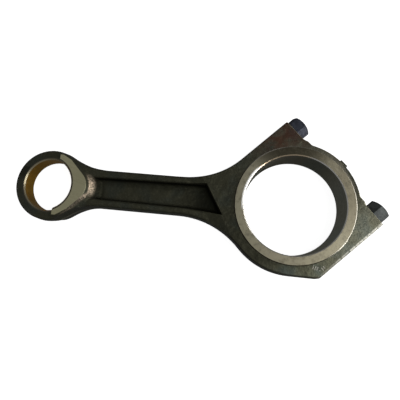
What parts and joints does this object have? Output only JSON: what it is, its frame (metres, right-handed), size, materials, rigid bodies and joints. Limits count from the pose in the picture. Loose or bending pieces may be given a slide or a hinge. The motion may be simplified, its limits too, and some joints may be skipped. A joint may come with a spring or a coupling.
{
  "type": "connecting rod",
  "caption": "Diesel engine connecting rod with an I-section shank, a stepped small end with a bush, and an obliquely split big end whose cap is held by hexagon bolts.",
  "frame": {"origin": "centre of the big-end bore, halfway between the two thrust rings", "axes": "+Z along the big-end bore axis, and the small-end bore axis is parallel to it at X = -0.220; the two bolts point along +X +Y at 45 degrees"},
  "size_m": [0.3337, 0.1412, 0.03],
  "materials": {
    "forged_steel": "dark phosphated forging with machined faces",
    "cap_steel": "phosphated forging with machined faces",
    "bolt_steel": "black oxide",
    "bush_bronze": "bored bronze on a steel back"
  },
  "bodies": {
    "rod": {"rod_body": "forged_steel", "small_end_bush": "bush_bronze"},
    "cap": {"bearing_cap": "cap_steel"},
    "upper_bolt": {"cap_bolt_upper": "bolt_steel"},
    "lower_bolt": {"cap_bolt_lower": "bolt_steel"}
  },
  "joints": [
    {"name": "cap_lift", "type": "slide", "parent": "rod", "child": "cap", "axis": [0.7071, 0.7071, 0], "range_m": [0, 0.06]},
    {"name": "upper_bolt_draw", "type": "slide", "parent": "cap", "child": "upper_bolt", "axis": [0.7071, 0.7071, 0], "range_m": [0, 0.07]},
    {"name": "lower_bolt_draw", "type": "slide", "parent": "cap", "child": "lower_bolt", "axis": [0.7071, 0.7071, 0], "range_m": [0, 0.07]}
  ]
}
